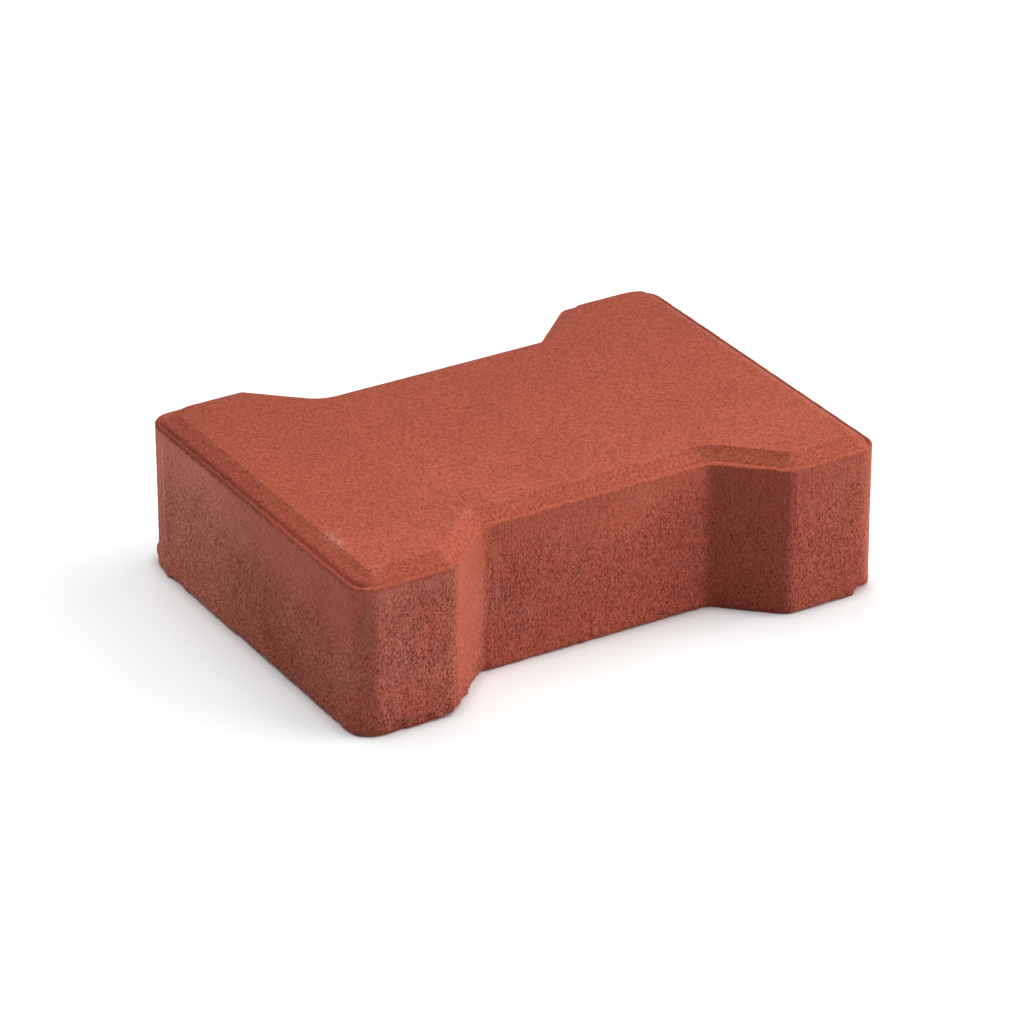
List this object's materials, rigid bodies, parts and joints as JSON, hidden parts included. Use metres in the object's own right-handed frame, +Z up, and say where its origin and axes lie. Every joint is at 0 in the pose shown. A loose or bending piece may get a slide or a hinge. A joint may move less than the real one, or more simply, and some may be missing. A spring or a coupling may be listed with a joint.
{
  "type": "concrete paving stone",
  "caption": "Bone-shaped interlocking paving stone of red pressed concrete, a flat block with a bevelled top and a slant-sided notch in each long side that takes its neighbours' flanges.",
  "frame": {"origin": "middle of the bed face, on the ground that the stone lies on", "axes": "+X along the length, +Y across the width from notch to notch, +Z up through the wearing face"},
  "size_m": [0.21, 0.153, 0.06],
  "materials": {
    "concrete": "matt red through-coloured concrete, fine grained on top, dragged and pitted on the sides"
  },
  "bodies": {
    "root": {"paving_stone": "concrete"}
  },
  "joints": []
}
